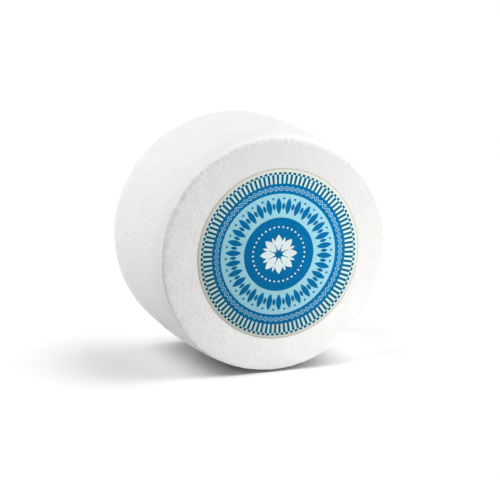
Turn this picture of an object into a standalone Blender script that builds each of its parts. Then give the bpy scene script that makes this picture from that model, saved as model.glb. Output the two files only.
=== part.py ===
"""A drum of salted ricotta lying on its flank, with a round paper label on one end.

World frame: metres, +Z up. The drum's axis runs along Y, halfway across, and the labelled end looks
towards -Y. The drum rests on a small flat at z = 0. Y = 0 is the middle of the drum's length.
"""

from math import atan2, cos, pi, radians, sin

import bmesh
import bpy

# Driving dimensions of the drum
FACE_RADIUS = 0.0875
DRUM_LENGTH = 0.1106
BELLY = 0.0024  # how far the flank swells at mid-length
FRONT_ROUNDING = 0.0045  # the edge towards the open end of the mould is the sharper one
BACK_ROUNDING = 0.0105
FLAT_DEPTH = 0.0012  # how much of the belly the drum's own weight has flattened

# Ribs that the mould leaves along the flank
RIB_COUNT = 108
RIB_RELIEF = 0.00025
COLUMNS_PER_RIB = 2

# The drum is hand moulded, so it isn't quite round. Each wave has its number of crests, its height
# and a crest's direction at the front, and the same two at the back. Directions are in degrees from
# +X towards +Z, seen from the label. One crest alone is a shift of that end.
WAVES_ROUND_THE_DRUM = (
    (1, 0.0004, -103, 0.0005, 48),
    (2, 0.0009, 16, 0.0003, 26),
    (3, 0.0003, 1, 0.0007, 53),
    (4, 0.0002, 17, 0.0004, 42),
)

# Rows of the turned profile
FRONT_ROUNDING_ROWS = 4
BACK_ROUNDING_ROWS = 5
FLANK_ROWS = 6

# The label, a paper disc stuck a little off the end's centre
LABEL_RADIUS = 0.0632
LABEL_THICKNESS = 0.0004
LABEL_RIGHT = 0.0016
LABEL_DOWN = 0.0003
LABEL_SIDES = 128
CONTACT_GAP = 0.0003

# Surfaces
SHARP_ANGLE = radians(40)
CURD_ROUGHNESS = 0.62
PAPER_ROUGHNESS = 0.5

# sRGB colours as they look in flat light
CURD_WHITE = (0.949, 0.941, 0.925)
LABEL_BLUE = (0.094, 0.494, 0.686)


def linear(colour):
    """The scene-linear values of an sRGB colour, with full opacity."""
    values = [c / 12.92 if c <= 0.04045 else ((c + 0.055) / 1.055) ** 2.4 for c in colour]
    return (*values, 1.0)


def new_material(name, colour, roughness):
    material = bpy.data.materials.new(name)
    material.use_nodes = True
    shader = material.node_tree.nodes["Principled BSDF"]
    shader.inputs["Base Color"].default_value = linear(colour)
    shader.inputs["Roughness"].default_value = roughness
    shader.inputs["Metallic"].default_value = 0.0
    return material


def new_collection(name):
    collection = bpy.data.collections.new(name)
    bpy.context.scene.collection.children.link(collection)
    return collection


def clear_scene():
    for old in list(bpy.data.objects):
        bpy.data.objects.remove(old)


def flank_radius(along):
    """The drum's radius, from 0 at the front to 1 at the back, with its belly between."""
    return FACE_RADIUS + 4 * BELLY * along * (1 - along)


def drum_profile():
    """(radius, depth behind the front) from the front's centre, over the flank, to the back's centre."""
    points = [(0.0, 0.0)]
    for row in range(FRONT_ROUNDING_ROWS + 1):
        turn = pi / 2 * row / FRONT_ROUNDING_ROWS
        depth = FRONT_ROUNDING * (1 - cos(turn))
        radius = flank_radius(depth / DRUM_LENGTH) - FRONT_ROUNDING * (1 - sin(turn))
        points.append((radius, depth))
    straight = DRUM_LENGTH - FRONT_ROUNDING - BACK_ROUNDING
    for row in range(1, FLANK_ROWS):
        depth = FRONT_ROUNDING + straight * row / FLANK_ROWS
        points.append((flank_radius(depth / DRUM_LENGTH), depth))
    for row in range(BACK_ROUNDING_ROWS + 1):
        turn = pi / 2 * row / BACK_ROUNDING_ROWS
        depth = DRUM_LENGTH - BACK_ROUNDING * (1 - sin(turn))
        radius = flank_radius(depth / DRUM_LENGTH) - BACK_ROUNDING * (1 - cos(turn))
        points.append((radius, depth))
    points.append((0.0, DRUM_LENGTH))
    return points


def out_of_round(angle, along):
    """How far the hand-moulded drum stands out of round, at an angle in radians and a share of its length."""
    height = 0.0
    for crests, front, front_crest, back, back_crest in WAVES_ROUND_THE_DRUM:
        height += (1 - along) * front * cos(crests * (angle - radians(front_crest)))
        height += along * back * cos(crests * (angle - radians(back_crest)))
    return height


def rib_strength(radius):
    """The ribs stand on the flank and die away over the rounded edges."""
    face_edge = FACE_RADIUS - BACK_ROUNDING
    share = (radius - face_edge) / (FACE_RADIUS - face_edge)
    return min(max(share, 0.0), 1.0) ** 2


def new_object(name, shape, collection):
    """An object that takes over what a bmesh holds."""
    mesh = bpy.data.meshes.new(name)
    shape.to_mesh(mesh)
    shape.free()
    made = bpy.data.objects.new(name, mesh)
    collection.objects.link(made)
    return made


def finish_surface(made, material):
    made.data.materials.append(material)
    made.data.shade_smooth()
    made.data.set_sharp_from_angle(angle=SHARP_ANGLE)


def turned_drum(collection):
    """The profile turned about local Z, the labelled end up, as a bmesh."""
    profile = bpy.data.meshes.new("drum_profile")
    corners = [(radius, 0.0, DRUM_LENGTH / 2 - depth) for radius, depth in drum_profile()]
    edges = [(i, i + 1) for i in range(len(corners) - 1)]
    profile.from_pydata(corners, edges, [])
    turned = bpy.data.objects.new("drum_profile", profile)
    collection.objects.link(turned)
    screw = turned.modifiers.new("turned", "SCREW")
    screw.steps = RIB_COUNT * COLUMNS_PER_RIB
    screw.render_steps = screw.steps
    screw.use_merge_vertices = True
    screw.merge_threshold = 0.00001
    graph = bpy.context.evaluated_depsgraph_get()
    shape = bmesh.new()
    shape.from_mesh(turned.evaluated_get(graph).data)
    bpy.data.objects.remove(turned)
    bpy.data.meshes.remove(profile)
    return shape


def mould(shape):
    """Presses the ribs and the drum's unevenness into the turned shape."""
    for vertex in shape.verts:
        radius = vertex.co.xy.length
        if radius < FRONT_ROUNDING:
            continue
        angle = atan2(vertex.co.y, vertex.co.x)
        along = 0.5 - vertex.co.z / DRUM_LENGTH
        relief = RIB_RELIEF / 2 * cos(RIB_COUNT * angle) * rib_strength(radius)
        push = out_of_round(angle, along) * radius / FACE_RADIUS + relief
        vertex.co.xy *= (radius + push) / radius


def build_cheese(parts, cutters, material):
    """The drum on its flank: local Z, the drum's axis, looks towards world -Y."""
    shape = turned_drum(parts)
    mould(shape)
    lowest = min(vertex.co.y for vertex in shape.verts)
    cheese = new_object("cheese", shape, parts)
    cheese.rotation_euler.x = pi / 2
    cheese.location.z = -lowest - FLAT_DEPTH
    finish_surface(cheese, material)

    below = bmesh.new()
    bmesh.ops.create_cube(below, size=4 * FACE_RADIUS)
    ground = new_object("resting_plane", below, cutters)
    ground.location.z = -2 * FACE_RADIUS
    ground.hide_render = True
    ground.display_type = "WIRE"
    flat = cheese.modifiers.new("resting_flat", "BOOLEAN")
    flat.operation = "DIFFERENCE"
    flat.solver = "EXACT"
    flat.object = ground
    return cheese


def build_label(parts, material, axis_height):
    """A paper disc in front of the labelled end, its local Z along the drum's axis."""
    shape = bmesh.new()
    bmesh.ops.create_cone(
        shape,
        cap_ends=True,
        segments=LABEL_SIDES,
        radius1=LABEL_RADIUS,
        radius2=LABEL_RADIUS,
        depth=LABEL_THICKNESS,
    )
    label = new_object("label", shape, parts)
    label.rotation_euler.x = pi / 2
    in_front = DRUM_LENGTH / 2 + CONTACT_GAP + LABEL_THICKNESS / 2
    label.location = (LABEL_RIGHT, -in_front, axis_height - LABEL_DOWN)
    finish_surface(label, material)


def main():
    clear_scene()
    parts = new_collection("ricotta_salata")
    cutters = new_collection("cutters")
    curd = new_material("cheese", CURD_WHITE, CURD_ROUGHNESS)
    paper = new_material("label", LABEL_BLUE, PAPER_ROUGHNESS)
    cheese = build_cheese(parts, cutters, curd)
    build_label(parts, paper, cheese.location.z)


main()
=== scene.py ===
"""The looks of a drum of salted ricotta that lies on its flank, with a round printed label on one end.

Metres, +Z up. The drum's axis runs along Y, and the labelled end looks towards -Y.
"""

from math import cos, pi, radians, sin

import bpy
import numpy as np
from mathutils import Matrix, Vector, noise
from mathutils.geometry import delaunay_2d_cdt


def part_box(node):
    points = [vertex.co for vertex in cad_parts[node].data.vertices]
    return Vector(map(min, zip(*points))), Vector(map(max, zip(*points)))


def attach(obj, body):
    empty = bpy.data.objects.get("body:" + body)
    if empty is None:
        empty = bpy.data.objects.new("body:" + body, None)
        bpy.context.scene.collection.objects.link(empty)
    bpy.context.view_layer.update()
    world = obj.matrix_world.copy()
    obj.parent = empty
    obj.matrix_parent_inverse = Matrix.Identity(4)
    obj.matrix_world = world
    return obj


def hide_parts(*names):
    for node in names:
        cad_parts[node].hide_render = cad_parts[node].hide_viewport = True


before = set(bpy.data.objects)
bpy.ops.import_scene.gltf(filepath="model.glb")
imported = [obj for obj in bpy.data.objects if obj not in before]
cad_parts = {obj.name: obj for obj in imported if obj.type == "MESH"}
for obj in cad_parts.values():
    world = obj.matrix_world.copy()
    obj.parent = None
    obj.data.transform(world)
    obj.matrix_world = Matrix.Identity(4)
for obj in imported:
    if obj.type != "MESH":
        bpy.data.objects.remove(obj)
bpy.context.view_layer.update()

MM = 0.001

# The drum, as in its solid
FACE_RADIUS = 0.0875
BELLY = 0.0024
FRONT_ROUNDING = 0.0045
BACK_ROUNDING = 0.0105
CREASE_TURN = radians(55)  # the front's rounding breaks off here against the flank
CREASE_INSET = 0.0007
CREASE_FADES = 0.012
# Where the front edge is worn back towards the axis. Each stretch has how far, and the directions in
# degrees where it starts, is full, begins to fade and ends.
WORN_EDGES = ((0.0012, 46, 60, 120, 129), (0.0007, 155, 180, 208, 225))
WORN_FROM_RADIUS = (0.0795, 0.084)  # from none to all of the wear
WORN_TO_DEPTH = (0.002, 0.016)  # from all of the wear to none
RIB_COUNT = 108
# The drum's unevenness. Each wave has its number of crests, then its height and a crest's direction in
# degrees at the front, and the same two at the back.
WAVES_ROUND_THE_DRUM = (
    (1, 0.0004, -103, 0.0005, 48),
    (2, 0.0009, 16, 0.0003, 26),
    (3, 0.0003, 1, 0.0007, 53),
    (4, 0.0002, 17, 0.0004, 42),
)
DRUM_LOW, DRUM_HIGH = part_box("cheese")
FRONT = DRUM_LOW.y
DRUM_LENGTH = DRUM_HIGH.y - DRUM_LOW.y

# The label, placed by its solid
LABEL_LOW, LABEL_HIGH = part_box("label")
LABEL_MIDDLE = (LABEL_LOW + LABEL_HIGH) / 2
LABEL_DOWN = 0.0003
LABEL_RADIUS = (LABEL_HIGH.x - LABEL_LOW.x) / 2
AXIS_HEIGHT = LABEL_MIDDLE.z + LABEL_DOWN
PAPER_THICKNESS = 0.16 * MM

# How finely the drum's surface is divided
COLUMNS = 8 * RIB_COUNT
FRONT_ROUNDING_ROWS = 9
ROWS_BEHIND_CREASE = (0.0003, 0.0007, 0.0013, 0.0022)
FLANK_ROWS = 44
BACK_ROUNDING_ROWS = 11
FRONT_SPACING = 0.78 * MM
BACK_SPACING = 1.3 * MM
HIDDEN_SPACING = 5 * MM
LABEL_SPACING = 2.5 * MM

# Relief of the pressed curd. Directions round the drum are angles from +X towards +Z.
SWELL_RELIEF = 0.25 * MM
SWELL_SIZE = 38 * MM
LIP_SLOPE = (0.02, 0.05)  # the front face rises from the label towards its edge, most at the bottom
RIB_RELIEF = 0.07 * MM
RIB_DRIFT = 15  # radians by which the ribs bunch up towards one side
CLOSEST_RIBS = radians(130)
NUB_RELIEF = 0.05 * MM
NUB_ACROSS = Vector((3.9 * MM, -1.45 * MM))
NUB_UP = Vector((0.8 * MM, 4.35 * MM))
CURD_RELIEF = 0.11 * MM
CURD_SLANT = radians(25)
# Size, seed, height everywhere and what is added where the curd is roughest
CURD_LUMPS = ((6 * MM, 9, 1.2, 0.5), (3.2 * MM, 10, 0.85, 1.1), (1.7 * MM, 14, 0.45, 2.4))
ROUGHEST_ANGLE = radians(197)
RIM_RELIEF = 0.4 * MM
# Size, seed and height
RIM_CHIPS = ((5 * MM, 12, 0.8), (2.8 * MM, 13, 0.8), (1.7 * MM, 16, 0.6))
RIM_CRUMBS = ((2.6 * MM, 17, 2.1), (1.5 * MM, 18, 1.35))
MOST_CHIPPED_ANGLE = radians(115)
CRUMBLY_ANGLE = radians(95)

# The label's outer radii in millimetres. An offset, as (right, up), is how far each sits off the middle.
PAPER_OUT = 62.85
PAPER_OFFSET = (0.46, -0.12)
PAPER_EDGE = 0.35
PRINT_OFFSET = (0.5, -0.4)
SQUARES_OUT = 60.5
SQUARES_OFFSET = (0.2, 0.0)
BARS_OUT = 58.85
BARS_OVERLAP = 0.5
BLUE_RING_OUT = 52.1
BLUE_RING_OFFSET = (0.1, 0.0)
LIGHT_RING_OUT = 44.7
LIGHT_RING_OFFSET = (-0.45, 0.0)
DISC_OUT = 27.2
ARC_STEPS = 400

# The label's ornaments, in millimetres and degrees
BAR_COUNT = 100
BAR_START = -0.7
BAR_SHARE = 0.49  # of a bar and the gap beside it
SQUARE_SHARE = 0.58
CHAIN_WAVES = 36
CHAIN_HEIGHT = 1.5
CHAIN_WIDTH = 0.5
CHAIN_DOT = 0.5
LEAF_COUNT = 30
LARGE_LEAF = (2.4, 2.8, 2.15)  # clear of the ring's inside, clear of its outside, half width
SMALL_LEAF = (5.6, 6.4, 1.25)
LEAF_DOT = 0.85
LEAF_DOT_CLEAR = 3.5
PETAL_COUNT = 8
LARGE_PETAL = (2.6, 14.6, 2.8)  # inner radius, outer radius, half width
SMALL_PETAL = (7.4, 13.4, 0.95)
FLOWER_DOT_COUNT = 36
FLOWER_DOT = 0.7
FLOWER_DOTS_RADIUS = 20.2

# sRGB colours of the prints
INKS = {
    "edge": (0.76, 0.73, 0.67),
    "border": (0.965, 0.975, 0.925),
    "pale": (0.865, 1.0, 1.0),
    "deep": (0.0, 0.40, 0.55),
    "blue": (0.0, 0.495, 0.745),
    "light": (0.69, 0.935, 1.0),
    "white": (0.94, 1.0, 1.0),
}
CURD = (0.957, 0.953, 0.950)
CURD_IN_SHADE = (0.945, 0.942, 0.936)
# A lighter curd colour: painted highlight along the top, just behind the front edge.
HIGHLIGHT_CURD = (0.985, 0.98, 0.98)

# Painted shade: the label is darker towards its lower left, the flank low down and near the front, and
# the front crease at the lower left. What is painted in shade keeps this share of its unshaded sRGB
# colour.
LABEL_SHADE_WAY = Vector((-0.68, 0, -0.73))
PAPER_PAINTED_SHADE = 0.775
INK_PAINTED_SHADE = {"deep": 0.73, "blue": 0.73, "white": 0.88}
FLANK_PAINTED_SHADE = 0.86
FLANK_SHADE_HEIGHT = AXIS_HEIGHT - 30 * MM
FLANK_SHADE_REACH = 50 * MM
CREASE_PAINTED_SHADE = 0.81

# Two bands along the front edge: painted shade in the crease, strongest at the lower left, and a painted
# highlight along the top. Each has where it starts and ends, as (depth behind the front, softness) in
# millimetres, its strongest side, given from the axis, and over what reach it grows there.
CREASE_SHADE_BAND = ((0.85, 0.4), (1.95, 0.2), 62 * MM * Vector((-0.84, 0, -0.54)), 20 * MM)
HIGHLIGHT_BAND = ((1.6, 0.8), (8.0, 4.0), 74 * MM * Vector((0.1, 0, 0.995)), 14 * MM)

# The finest grain of the curd, as (size, depth)
GRAINS = (1.3 * MM, 0.7 * MM)
PITS = (1.8 * MM, 0.3 * MM)
PORES = (0.5 * MM, 0.12 * MM)
SMOOTHEST_GRAIN = 0.32  # of its depth where the curd is roughest

# The camera, as in the photograph
CAMERA_AZIMUTH = radians(21.8)
CAMERA_ELEVATION = radians(12.64)
CAMERA_DISTANCE = 2.077
CAMERA_FOCAL_PIXELS = 2870
IMAGE_WIDTH, IMAGE_HEIGHT = 500, 480
FACE_MIDDLE_PIXEL = (276.0, 253.5)
SENSOR_WIDTH = 36

# The stage, and the lights' colours in scene-linear values
FLOOR_REACH = 60.0
FLOOR_HEIGHT = -0.2 * MM
FLOOR_GREY = 0.96
SUN_ANGLE = radians(35)
SUN_DISTANCE = 3.0
COOL = (1.0, 0.985, 1.0)
WARM = (0.998, 1.0, 0.985)


def linear(colour):
    """The scene-linear values of an sRGB colour, with full opacity."""
    values = [c / 12.92 if c <= 0.04045 else ((c + 0.055) / 1.055) ** 2.4 for c in colour]
    return (*values, 1.0)


def darker(colour, share):
    """The scene-linear values of a share of an sRGB colour."""
    return linear(tuple(share * part for part in colour))


def smooth_step(value, start, end):
    share = np.clip((value - start) / (end - start), 0, 1)
    return share * share * (3 - 2 * share)


def lumps(points, size, seed):
    """Smooth random heights between about -1 and 1, one for each point, in lumps of about that size."""
    shift = Vector((1.7 * seed, 3.1 * seed, -2.3 * seed))
    return np.array([noise.noise(Vector(point) / size + shift) for point in points])


def layered_lumps(points, layers):
    """Lumps of several sizes on top of each other. Each layer is (size, seed, height)."""
    return sum(height * lumps(points, size, seed) for size, seed, height in layers)


# Shape of the drum


def flank_radius(along):
    return FACE_RADIUS + 4 * BELLY * along * (1 - along)


def out_of_round(angle, along):
    height = 0.0
    for crests, front, front_crest, back, back_crest in WAVES_ROUND_THE_DRUM:
        height += (1 - along) * front * np.cos(crests * (angle - radians(front_crest)))
        height += along * back * np.cos(crests * (angle - radians(back_crest)))
    return height


def drum_rows():
    """(radius, depth behind the front) from the labelled face's edge to the back face's edge."""
    rows = []
    crease = FRONT_ROUNDING * (1 - cos(CREASE_TURN))
    crease_radius = flank_radius(crease / DRUM_LENGTH) - CREASE_INSET
    for row in range(FRONT_ROUNDING_ROWS + 1):
        turn = CREASE_TURN * row / FRONT_ROUNDING_ROWS
        inwards = FRONT_ROUNDING * (sin(CREASE_TURN) - sin(turn))
        rows.append((crease_radius - inwards, FRONT_ROUNDING * (1 - cos(turn))))
    start = crease + 2 * ROWS_BEHIND_CREASE[-1] - ROWS_BEHIND_CREASE[-2]
    straight = DRUM_LENGTH - start - BACK_ROUNDING
    depths = [crease + behind for behind in ROWS_BEHIND_CREASE]
    depths += [start + straight * row / FLANK_ROWS for row in range(FLANK_ROWS)]
    for depth in depths:
        fading = max(0.0, 1 - (depth - crease) / CREASE_FADES)
        rows.append((flank_radius(depth / DRUM_LENGTH) - CREASE_INSET * fading**1.5, depth))
    for row in range(BACK_ROUNDING_ROWS + 1):
        turn = pi / 2 * row / BACK_ROUNDING_ROWS
        depth = DRUM_LENGTH - BACK_ROUNDING * (1 - sin(turn))
        rows.append((flank_radius(depth / DRUM_LENGTH) - BACK_ROUNDING * (1 - cos(turn)), depth))
    return rows


def hexagonal_points(reach, spacing):
    """Points of a triangular lattice over a square of that reach."""
    rows = int(reach / (spacing * sin(pi / 3)))
    across = int(reach / spacing)
    points = []
    for row in range(-rows, rows + 1):
        offset = spacing / 2 * (row % 2)
        for column in range(-across, across + 1):
            points.append((column * spacing + offset, row * spacing * sin(pi / 3)))
    return np.array(points)


def disc_faces(ring, inner):
    """Triangles over a disc, from the ring of points at its edge and loose points inside."""
    points = [Vector(p) / MM for p in (*ring, *inner)]
    outline = [list(range(len(ring)))]
    corners, _, faces, origins, _, _ = delaunay_2d_cdt(points, [], outline, 1, 1e-5)
    order = [origin[0] for origin in origins]
    return [[order[corner] for corner in face] for face in faces]


def face_points(radius, spacing, middle, hidden_radius):
    """Loose points inside a face's edge, sparse where the label hides the curd."""
    fine = hexagonal_points(radius, spacing)
    from_middle = np.hypot(*(fine - middle).T)
    inside = np.hypot(*fine.T) < radius - 0.6 * spacing
    fine = fine[inside & (from_middle > hidden_radius)]
    coarse = hexagonal_points(radius, HIDDEN_SPACING)
    coarse = coarse[np.hypot(*(coarse - middle).T) < hidden_radius - 0.4 * HIDDEN_SPACING]
    return np.concatenate([fine, coarse])


def worn_shoulder(angle, radius, depth):
    """How far the front edge is worn back towards the axis."""
    degrees = np.degrees(angle) % 360
    near_edge = smooth_step(radius, *WORN_FROM_RADIUS) * (1 - smooth_step(depth, *WORN_TO_DEPTH))
    worn = 0.0
    for most, start, full, fading, end in WORN_EDGES:
        worn += most * smooth_step(degrees, start, full) * (1 - smooth_step(degrees, fading, end))
    return worn * near_edge


def moulded(points):
    """World places of points (across, depth, up) from the axis, on the uneven and worn drum."""
    angle = np.arctan2(points[:, 2], points[:, 0])
    along = points[:, 1] / DRUM_LENGTH
    worn = worn_shoulder(angle, np.hypot(points[:, 0], points[:, 2]), points[:, 1])
    grow = 1 + (out_of_round(angle, along) - worn) / FACE_RADIUS
    across, up = points[:, 0] * grow, points[:, 2] * grow
    return np.stack([across, FRONT + points[:, 1], AXIS_HEIGHT + up], 1)


def swell(place):
    """The face's broad swells, which the label follows."""
    return SWELL_RELIEF * lumps(place, SWELL_SIZE, 5)


def rib_relief(place, angle):
    """Ribs along the flank, which fade in and out as the mould's weave left them."""
    drawn_out = place * (1, 0.3, 1)
    wander = 1.5 * lumps(drawn_out, 26 * MM, 1) + RIB_DRIFT * np.sin(angle - CLOSEST_RIBS)
    strength = 0.8 + 0.9 * lumps(drawn_out, 12 * MM, 2)
    ribs = np.cos(RIB_COUNT * angle + wander)
    half_ribs = np.cos(2 * (RIB_COUNT * angle + wander))
    streaks = 0.9 * lumps(place * (1, 0.2, 1), 4.2 * MM, 4)
    streaks += 0.5 * lumps(place * (1, 0.22, 1), 1.9 * MM, 3)
    bold = 0.55 + 1.0 * smooth_step(-np.sin(angle), -0.8, 0.3)
    return RIB_RELIEF * bold * (strength * (1.5 * ribs + 0.25 * half_ribs) + streaks)


def nub_relief(place):
    """A face's near-square lattice of small nubs, longer upwards than across."""
    lattice = np.array(Matrix((NUB_ACROSS, NUB_UP)).transposed().inverted())
    flat = place[:, (0, 2)] - (LABEL_MIDDLE.x, AXIS_HEIGHT)
    steps = flat @ lattice.T
    across = np.cos(2 * pi * (steps[:, 0] + 0.6 * lumps(place, 7 * MM, 6)))
    up = np.cos(2 * pi * (steps[:, 1] + 0.6 * lumps(place, 7 * MM, 7)))
    strength = 0.7 + 1.1 * lumps(place, 12 * MM, 8)
    return NUB_RELIEF * strength * (across + 0.7 * up)


def coarseness(angle):
    """How rough the curd is, from 0 on its smoothest side to 1."""
    return ((1 + np.cos(angle - ROUGHEST_ANGLE)) / 2) ** 3


def curd_relief(place, angle):
    """Lumps of pressed curd at three sizes, drawn out a little along a slant."""
    slant = np.array(Matrix.Rotation(CURD_SLANT, 3, "Y"))
    turned = (place @ slant.T) * (1, 1, 0.65)
    rough = coarseness(angle)
    height = 0.0
    for size, seed, everywhere, added in CURD_LUMPS:
        height += (everywhere + added * rough) * lumps(turned, size, seed)
    return CURD_RELIEF * height


def rim_relief(place, angle):
    """Chips along the front edge, drawn out inwards, and crumbs along its top."""
    depth = place[:, 1] - FRONT
    radius = np.hypot(place[:, 0], place[:, 2] - AXIS_HEIGHT)
    inwards = FACE_RADIUS + depth - radius
    near_edge = smooth_step(-inwards, -8 * MM, -2.5 * MM) * (1 - smooth_step(depth, 1.5 * MM, 6 * MM))
    drawn_out = np.stack([FACE_RADIUS * np.cos(angle), 0.35 * inwards, FACE_RADIUS * np.sin(angle)], 1)
    rounder = drawn_out * (1, 2.3, 1)
    chipped = 0.65 + 0.35 * np.cos(angle - MOST_CHIPPED_ANGLE)
    crumbly = smooth_step(np.cos(angle - CRUMBLY_ANGLE), 0.5, 0.85)
    height = chipped * layered_lumps(drawn_out, RIM_CHIPS) + crumbly * layered_lumps(rounder, RIM_CRUMBS)
    return RIM_RELIEF * near_edge * height


def relief(place, normal):
    """How far the curd stands out along its normal at each place."""
    angle = np.arctan2(place[:, 2] - AXIS_HEIGHT, place[:, 0])
    facing = np.abs(normal[:, 1])
    on_face = smooth_step(facing, 0.35, 0.95)
    on_front = normal[:, 1] < 0
    from_label = np.hypot(place[:, 0] - LABEL_MIDDLE.x, place[:, 2] - LABEL_MIDDLE.z) - LABEL_RADIUS
    open_curd = np.where(on_front, smooth_step(from_label, -0.5 * MM, 2.0 * MM), 1.0)
    height = swell(place)
    least, most = LIP_SLOPE
    lip = least + (most - least) * smooth_step(-np.sin(angle), 0.2, 0.95)
    height += on_front * on_face * lip * np.maximum(from_label, 0)
    height += (1 - on_face) * rib_relief(place, angle)
    height += on_face * open_curd * nub_relief(place)
    height += (0.35 + 0.65 * on_face) * open_curd * curd_relief(place, angle)
    height += rim_relief(place, angle)
    return height


def vertex_values(mesh, name):
    values = np.empty(len(mesh.vertices) * 3, np.float32)
    mesh.vertices.foreach_get(name, values)
    return values.reshape(-1, 3).astype(float)


def build_drum(material):
    turns = np.linspace(0, 2 * pi, COLUMNS, endpoint=False)
    circle = np.stack([np.cos(turns), np.sin(turns)], 1)
    rows = drum_rows()
    points = [np.insert(circle * radius, 1, depth, axis=1) for radius, depth in rows]
    column = np.arange(COLUMNS)
    following = (column + 1) % COLUMNS
    faces = []
    for row in range(len(rows) - 1):
        near, far = row * COLUMNS, (row + 1) * COLUMNS
        quads = np.stack([near + column, far + column, far + following, near + following], 1)
        faces += quads.tolist()

    label_middle = np.array((LABEL_MIDDLE.x, LABEL_MIDDLE.z - AXIS_HEIGHT))
    ends = ((0, FRONT_SPACING, LABEL_RADIUS - 4 * MM, 1), (len(rows) - 1, BACK_SPACING, 0.0, -1))
    for row, spacing, under_label, turn in ends:
        radius, depth = rows[row]
        inner = face_points(radius, spacing, label_middle, under_label)
        made = disc_faces(circle * radius, inner)
        start = sum(len(part) for part in points)
        ring = row * COLUMNS
        place = [ring + i for i in range(COLUMNS)] + [start + i for i in range(len(inner))]
        faces += [[place[corner] for corner in face][::turn] for face in made]
        points.append(np.insert(inner, 1, depth, axis=1))

    base = moulded(np.concatenate(points))
    mesh = bpy.data.meshes.new("drum")
    mesh.from_pydata(base.tolist(), [], faces)
    normal = vertex_values(mesh, "normal")
    place = base + normal * relief(base, normal)[:, None]
    place[:, 2] = np.maximum(place[:, 2], 0.0)
    mesh.vertices.foreach_set("co", place.ravel())
    mesh.update()
    mesh.shade_smooth()
    mesh.materials.append(material)
    drum = bpy.data.objects.new("drum", mesh)
    bpy.context.scene.collection.objects.link(drum)
    return drum


# Print of the label


def polar(radius, angle):
    """A point (right, up) of the label, at an angle in degrees clockwise from the top."""
    return (radius * sin(radians(angle)), radius * cos(radians(angle)))


def disc(radius, middle=(0.0, 0.0), steps=ARC_STEPS):
    turns = [360 * step / steps for step in range(steps)]
    return [(middle[0] + x, middle[1] + y) for x, y in (polar(radius, turn) for turn in turns)]


def patch(inner, outer, angle, half_width):
    """A short bar between two radii."""
    left, right = angle - half_width, angle + half_width
    return [polar(inner, left), polar(outer, left), polar(outer, right), polar(inner, right)]


def leaf(inner, outer, angle, half_width, steps=9):
    """A pointed leaf that lies along a radius, half_width in millimetres at its middle."""
    shares = [step / steps for step in range(steps + 1)]
    sides = []
    for side, order in ((-1, shares), (1, shares[::-1])):
        for share in order[:-1]:
            radius = inner + (outer - inner) * share
            out = side * half_width * sin(pi * share) ** 0.8
            x, y = polar(radius, angle)
            sides.append((x + out * cos(radians(angle)), y - out * sin(radians(angle))))
    return sides


def wave(middle, height, count, start, width, steps=10):
    """A wavy line round the label, as short overlapping pieces."""
    total = count * steps
    pieces = []
    for step in range(total):
        corners = []
        for end in (step, step + 1):
            angle = 360 * end / total
            radius = middle + height * sin(radians(count * angle + start))
            corners.append((polar(radius - width / 2, angle), polar(radius + width / 2, angle)))
        (a, b), (c, d) = corners
        pieces.append([a, b, d, c])
    return pieces


def edge_ring():
    """Bars round the label with squares outside them, on a pale disc."""
    shapes = [(disc(SQUARES_OUT, SQUARES_OFFSET), "pale")]
    pitch = 360 / BAR_COUNT
    bars_in = BLUE_RING_OUT - BARS_OVERLAP
    for bar in range(BAR_COUNT):
        middle = BAR_START + bar * pitch
        shapes.append((patch(bars_in, BARS_OUT, middle, BAR_SHARE * pitch / 2), "deep"))
        between = middle + pitch / 2
        shapes.append((patch(BARS_OUT, SQUARES_OUT, between, SQUARE_SHARE * pitch / 2), "deep"))
    return shapes


def blue_ring():
    """A blue ring with a chain of two crossing waves, and a dot in each of its links."""
    shapes = [(disc(BLUE_RING_OUT, BLUE_RING_OFFSET), "blue")]
    radius = (BLUE_RING_OUT + LIGHT_RING_OUT) / 2
    for start in (0, 180):
        pieces = wave(radius, CHAIN_HEIGHT, CHAIN_WAVES, start, CHAIN_WIDTH)
        shapes += [(piece, "light") for piece in pieces]
    pitch = 180 / CHAIN_WAVES
    for link in range(2 * CHAIN_WAVES):
        shapes.append((disc(CHAIN_DOT, polar(radius, (link + 0.5) * pitch), 12), "light"))
    return shapes


def light_ring():
    """A light ring with large and small leaves by turns, and a dot outside each small one."""
    shapes = [(disc(LIGHT_RING_OUT, LIGHT_RING_OFFSET), "light")]
    pitch = 360 / LEAF_COUNT
    for turn in range(LEAF_COUNT):
        for (inside, outside, half_width), share in ((LARGE_LEAF, turn), (SMALL_LEAF, turn + 0.5)):
            made = leaf(DISC_OUT + inside, LIGHT_RING_OUT - outside, share * pitch, half_width)
            shapes.append((made, "blue"))
        dot_middle = polar(LIGHT_RING_OUT - LEAF_DOT_CLEAR, (turn + 0.5) * pitch)
        shapes.append((disc(LEAF_DOT, dot_middle, 14), "blue"))
    return shapes


def flower_disc():
    """A blue disc with a flower in a ring of dots."""
    shapes = [(disc(DISC_OUT), "blue")]
    pitch = 360 / PETAL_COUNT
    for petal in range(PETAL_COUNT):
        for (inner, outer, half_width), turn in ((LARGE_PETAL, petal), (SMALL_PETAL, petal + 0.5)):
            shapes.append((leaf(inner, outer, turn * pitch, half_width), "white"))
    for dot in range(FLOWER_DOT_COUNT):
        dot_middle = polar(FLOWER_DOTS_RADIUS, dot * 360 / FLOWER_DOT_COUNT)
        shapes.append((disc(FLOWER_DOT, dot_middle, 12), "white"))
    return shapes


def label_print():
    """The label's shapes as (outline, ink), each printed over those before it."""
    across, up = PRINT_OFFSET
    rings = [*edge_ring(), *blue_ring(), *light_ring(), *flower_disc()]
    rings = [([(x + across, y + up) for x, y in outline], ink) for outline, ink in rings]
    edge = disc(PAPER_OUT, PAPER_OFFSET)
    inside_edge = disc(PAPER_OUT - PAPER_EDGE, PAPER_OFFSET)
    return [(edge, "edge"), (inside_edge, "border"), *rings]


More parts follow.
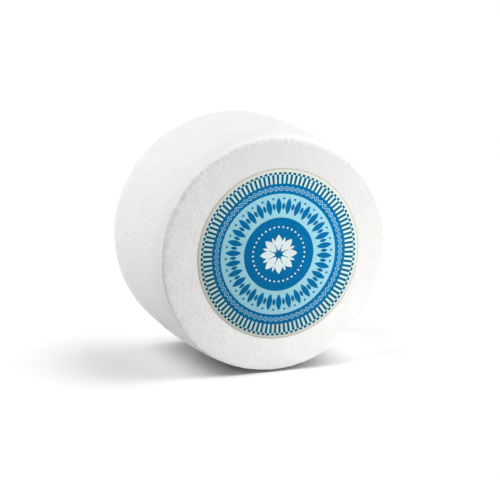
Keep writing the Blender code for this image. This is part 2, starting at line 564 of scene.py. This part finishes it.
def build_label(materials):
    shapes = label_print()
    corners = hexagonal_points(LABEL_RADIUS, LABEL_SPACING) / MM
    inside = np.hypot(*corners.T) < PAPER_OUT - 1
    points = [Vector(corner) for corner in corners[inside]]
    outlines = []
    for outline, _ in shapes:
        outlines.append(list(range(len(points), len(points) + len(outline))))
        points += [Vector(corner) for corner in reversed(outline)]
    flat, _, faces, _, _, sources = delaunay_2d_cdt(points, [], outlines, 1, 1e-4)
    inks = list(materials)
    ink_of_face = [inks.index(shapes[max(source)][1]) for source in sources]

    front = np.array([(x, 0.0, y) for x, y in flat]) * MM + (LABEL_MIDDLE.x, FRONT, LABEL_MIDDLE.z)
    lift = swell(front) + 0.05 * MM + 0.02 * MM * lumps(front, 11 * MM, 21)
    back = front - np.outer(lift, (0, 1, 0))
    front = back - (0, PAPER_THICKNESS, 0)
    mesh = bpy.data.meshes.new("printed_label")
    count = len(front)
    backs = [[corner + count for corner in face][::-1] for face in faces]
    sides = [[b, a, a + count, b + count] for a, b in open_edges(faces)]
    mesh.from_pydata(np.concatenate([front, back]).tolist(), [], [*faces, *backs, *sides])
    slots = ink_of_face * 2 + [inks.index("edge")] * len(sides)
    mesh.polygons.foreach_set("material_index", slots)
    for material in materials.values():
        mesh.materials.append(material)
    mesh.update()
    mesh.shade_smooth()
    mesh.set_sharp_from_angle(angle=radians(40))
    label = bpy.data.objects.new("printed_label", mesh)
    bpy.context.scene.collection.objects.link(label)
    return label


def open_edges(faces):
    """The edges that only one face uses, in that face's direction."""
    seen = set()
    for face in faces:
        for corner, following in zip(face, face[1:] + face[:1]):
            seen.add((corner, following))
    return [(a, b) for a, b in seen if (b, a) not in seen]


# Materials


def new_material(name, roughness, specular):
    material = bpy.data.materials.new(name)
    material.use_nodes = True
    shader = material.node_tree.nodes["Principled BSDF"]
    shader.inputs["Roughness"].default_value = roughness
    shader.inputs["Specular IOR Level"].default_value = specular
    return material, material.node_tree, shader


def place_node(tree):
    return tree.nodes.new("ShaderNodeTexCoord").outputs["Object"]


def noise_node(tree, place, size, detail=3.0):
    node = tree.nodes.new("ShaderNodeTexNoise")
    node.inputs["Scale"].default_value = 1 / size
    node.inputs["Detail"].default_value = detail
    tree.links.new(place, node.inputs["Vector"])
    return node.outputs["Fac"]


def pit_node(tree, place, size):
    """Heights with a small pit in the middle of each cell, a cell being about that size across."""
    node = tree.nodes.new("ShaderNodeTexVoronoi")
    node.inputs["Scale"].default_value = 1 / size
    tree.links.new(place, node.inputs["Vector"])
    return ranged(tree, node.outputs["Distance"], 0, 1, 0.05, 0.4)


def mixed_colour(tree, share, first, second):
    """A colour from the first to the second, each a colour or another node's output."""
    node = tree.nodes.new("ShaderNodeMix")
    node.data_type = "RGBA"
    for name, colour in (("A", first), ("B", second)):
        if isinstance(colour, tuple):
            node.inputs[name].default_value = colour
        else:
            tree.links.new(colour, node.inputs[name])
    tree.links.new(share, node.inputs["Factor"])
    return node.outputs["Result"]


def ranged(tree, value, low, high, from_low=0.3, from_high=0.7):
    node = tree.nodes.new("ShaderNodeMapRange")
    node.inputs["From Min"].default_value = from_low
    node.inputs["From Max"].default_value = from_high
    node.inputs["To Min"].default_value = low
    node.inputs["To Max"].default_value = high
    tree.links.new(value, node.inputs["Value"])
    return node.outputs["Result"]


def along_way(tree, place, way, middle, reach, low, high):
    """A value that goes from low to high along a way, over the reach on both sides of a middle."""
    node = tree.nodes.new("ShaderNodeVectorMath")
    node.operation = "DOT_PRODUCT"
    node.inputs[1].default_value = way
    tree.links.new(place, node.inputs[0])
    centre = middle.dot(way)
    return ranged(tree, node.outputs["Value"], low, high, centre - reach, centre + reach)


def product(tree, first, second):
    node = tree.nodes.new("ShaderNodeMath")
    node.operation = "MULTIPLY"
    tree.links.new(first, node.inputs[0])
    tree.links.new(second, node.inputs[1])
    return node.outputs["Value"]


def bumped(tree, height, distance, strength=None, below=None):
    node = tree.nodes.new("ShaderNodeBump")
    node.inputs["Distance"].default_value = distance
    tree.links.new(height, node.inputs["Height"])
    if strength:
        tree.links.new(strength, node.inputs["Strength"])
    if below:
        tree.links.new(below, node.inputs["Normal"])
    return node.outputs["Normal"]


def edge_band(tree, place, start, end, strongest, reach):
    """The share of a band along the front edge, with its values as listed for the two bands."""
    back = Vector((0, 1, 0))
    begun = along_way(tree, place, back, back * (FRONT + start[0] * MM), start[1] * MM, 0.0, 1.0)
    ended = along_way(tree, place, back, back * (FRONT + end[0] * MM), end[1] * MM, 1.0, 0.0)
    axis = Vector((0, 0, AXIS_HEIGHT))
    on_side = along_way(tree, place, strongest.normalized(), axis + strongest, reach, 0.0, 1.0)
    return product(tree, product(tree, begun, ended), on_side)


def curd_colour(tree, place):
    """White curd in faint patches, with painted shade low on the flank and in the front crease, and a
    painted highlight along the top just behind the front edge.
    """
    patches = ranged(tree, noise_node(tree, place, 12 * MM), 0, 1)
    unshaded = mixed_colour(tree, patches, linear(CURD), linear(CURD_IN_SHADE))
    down, back = Vector((0, 0, -1)), Vector((0, 1, 0))
    # Painted shade: the curd is darker low on the flank, from just behind the front edge, fading towards
    # the back.
    low = along_way(tree, place, down, -FLANK_SHADE_HEIGHT * down, FLANK_SHADE_REACH, 0.0, 1.0)
    behind_edge = along_way(tree, place, back, (FRONT + 1.4 * MM) * back, 0.6 * MM, 0.0, 1.0)
    fading = along_way(tree, place, back, Vector((0, 0, 0)), DRUM_LENGTH / 2, 1.0, 0.35)
    painted_shade = product(tree, product(tree, low, behind_edge), fading)
    colour = mixed_colour(tree, painted_shade, unshaded, darker(CURD, FLANK_PAINTED_SHADE))
    # Painted shade: a darker line in the front crease, strongest at the lower left.
    colour = mixed_colour(tree, edge_band(tree, place, *CREASE_SHADE_BAND), colour, darker(CURD, CREASE_PAINTED_SHADE))
    # Painted highlight: lighter curd along the top, just behind the front edge.
    return mixed_colour(tree, edge_band(tree, place, *HIGHLIGHT_BAND), colour, linear(HIGHLIGHT_CURD))


def curd_grain(tree, place):
    """Grains, pits and pores that are finer than the mesh, deepest where the curd is roughest."""
    roughest = Vector((cos(ROUGHEST_ANGLE), 0, sin(ROUGHEST_ANGLE)))
    middle = Vector((0, 0, AXIS_HEIGHT)) + 0.55 * FACE_RADIUS * roughest
    strength = along_way(tree, place, roughest, middle, 0.45 * FACE_RADIUS, SMOOTHEST_GRAIN, 1.0)
    grains = bumped(tree, noise_node(tree, place, GRAINS[0]), GRAINS[1], strength)
    pits = bumped(tree, pit_node(tree, place, PITS[0]), PITS[1], strength, grains)
    return bumped(tree, noise_node(tree, place, PORES[0], 2.0), PORES[1], strength, pits)


def curd_material():
    material, tree, shader = new_material("curd", 0.6, 0.3)
    place = place_node(tree)
    tree.links.new(curd_colour(tree, place), shader.inputs["Base Color"])
    tree.links.new(ranged(tree, noise_node(tree, place, 5 * MM), 0.5, 0.7), shader.inputs["Roughness"])
    tree.links.new(curd_grain(tree, place), shader.inputs["Normal"])
    shader.inputs["Subsurface Weight"].default_value = 0.08
    shader.inputs["Subsurface Radius"].default_value = (1.0, 0.9, 0.75)
    shader.inputs["Subsurface Scale"].default_value = 1.5 * MM
    return material


def ink_material(name, colour):
    """Printed paper, faintly mottled, with painted shade towards the lower left."""
    material, tree, shader = new_material(f"print_{name}", 0.5, 0.03)
    place = place_node(tree)
    mottle = ranged(tree, noise_node(tree, place, 3 * MM), 0, 1)
    unshaded = mixed_colour(tree, mottle, linear(colour), darker(colour, 0.97))
    # Painted shade: each ink is darker towards the label's lower left.
    shade_share = along_way(tree, place, LABEL_SHADE_WAY, LABEL_MIDDLE, LABEL_RADIUS, 0.0, 1.0)
    painted_shade = darker(colour, INK_PAINTED_SHADE.get(name, PAPER_PAINTED_SHADE))
    tree.links.new(mixed_colour(tree, shade_share, unshaded, painted_shade), shader.inputs["Base Color"])
    tree.links.new(ranged(tree, noise_node(tree, place, 6 * MM), 0.45, 0.6), shader.inputs["Roughness"])
    fibres = bumped(tree, noise_node(tree, place, 0.5 * MM, 2.0), 0.03 * MM)
    tree.links.new(fibres, shader.inputs["Normal"])
    return material


# Stage, light and camera


def build_floor():
    material, _, shader = new_material("floor", 0.9, 0.1)
    shader.inputs["Base Color"].default_value = (FLOOR_GREY, FLOOR_GREY, FLOOR_GREY, 1)
    mesh = bpy.data.meshes.new("floor")
    sides = ((-1, -1), (1, -1), (1, 1), (-1, 1))
    corners = [(x * FLOOR_REACH, y * FLOOR_REACH, FLOOR_HEIGHT) for x, y in sides]
    mesh.from_pydata(corners, [], [(0, 1, 2, 3)])
    mesh.materials.append(material)
    floor = bpy.data.objects.new("floor", mesh)
    bpy.context.scene.collection.objects.link(floor)


def build_world():
    """A dark world, so that all light comes from the lamps and the floor."""
    world = bpy.data.worlds.new("studio")
    world.use_nodes = True
    world.node_tree.nodes["Background"].inputs["Strength"].default_value = 0.0
    bpy.context.scene.world = world


def direction(azimuth, elevation):
    """A unit vector. Azimuth 0 is in front of the label, 90 to its right, both in degrees."""
    a, e = radians(azimuth), radians(elevation)
    return Vector((sin(a) * cos(e), -cos(a) * cos(e), sin(e)))


def place_light(data, azimuth, elevation, distance):
    """Places a light so that it looks at the drum's middle."""
    towards = direction(azimuth, elevation)
    light = bpy.data.objects.new(data.name, data)
    light.location = Vector((0, 0, AXIS_HEIGHT)) + distance * towards
    light.rotation_euler = towards.to_track_quat("Z", "Y").to_euler()
    light.visible_camera = False
    bpy.context.scene.collection.objects.link(light)


def build_sun(name, colour, azimuth, elevation, strength):
    """A soft sun. At a strength of 1, a surface that faces it looks its own colour."""
    data = bpy.data.lights.new(name, "SUN")
    data.color = colour
    data.energy = strength * pi
    data.angle = SUN_ANGLE
    place_light(data, azimuth, elevation, SUN_DISTANCE)


def build_panel(name, colour, azimuth, elevation, watts, distance, width, height):
    """A soft panel close to the drum."""
    data = bpy.data.lights.new(name, "AREA")
    data.color = colour
    data.energy = watts
    data.shape = "RECTANGLE"
    data.size = width
    data.size_y = height
    place_light(data, azimuth, elevation, distance)


def build_camera():
    """A long lens that puts the labelled face's middle on its pixel of the photograph."""
    az, el = CAMERA_AZIMUTH, CAMERA_ELEVATION
    forward = Vector((sin(az) * cos(el), cos(az) * cos(el), -sin(el)))
    right = Vector((cos(az), -sin(az), 0))
    up = right.cross(forward)
    across = (FACE_MIDDLE_PIXEL[0] - IMAGE_WIDTH / 2) / CAMERA_FOCAL_PIXELS
    down = (FACE_MIDDLE_PIXEL[1] - IMAGE_HEIGHT / 2) / CAMERA_FOCAL_PIXELS
    face_middle = Vector((0, FRONT, AXIS_HEIGHT))
    data = bpy.data.cameras.new("camera")
    data.sensor_width = SENSOR_WIDTH
    data.lens = CAMERA_FOCAL_PIXELS / IMAGE_WIDTH * SENSOR_WIDTH
    camera = bpy.data.objects.new("camera", data)
    camera.location = face_middle - CAMERA_DISTANCE * (forward + across * right - down * up)
    camera.rotation_euler = Matrix((right, up, -forward)).transposed().to_euler()
    bpy.context.scene.collection.objects.link(camera)
    bpy.context.scene.camera = camera


drum = build_drum(curd_material())
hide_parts("cheese")
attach(drum, "root")

label = build_label({name: ink_material(name, colour) for name, colour in INKS.items()})
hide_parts("label")
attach(label, "root")

build_floor()
build_world()
build_sun("high_left", COOL, -90, 60, 0.49)
build_sun("high_right", WARM, 90, 60, 0.34)
build_sun("high_front", WARM, 45, 60, 0.22)
build_sun("low_behind", COOL, -158, 10, 0.50)
build_sun("right_behind", WARM, 135, 35, 0.12)
build_panel("near_right", WARM, 56, 18, 0.315, distance=0.35, width=0.16, height=0.16)
build_panel("low_front", WARM, 17, -19, 0.038, distance=0.2, width=0.06, height=0.03)
build_camera()
bpy.context.scene.view_settings.view_transform = "Standard"
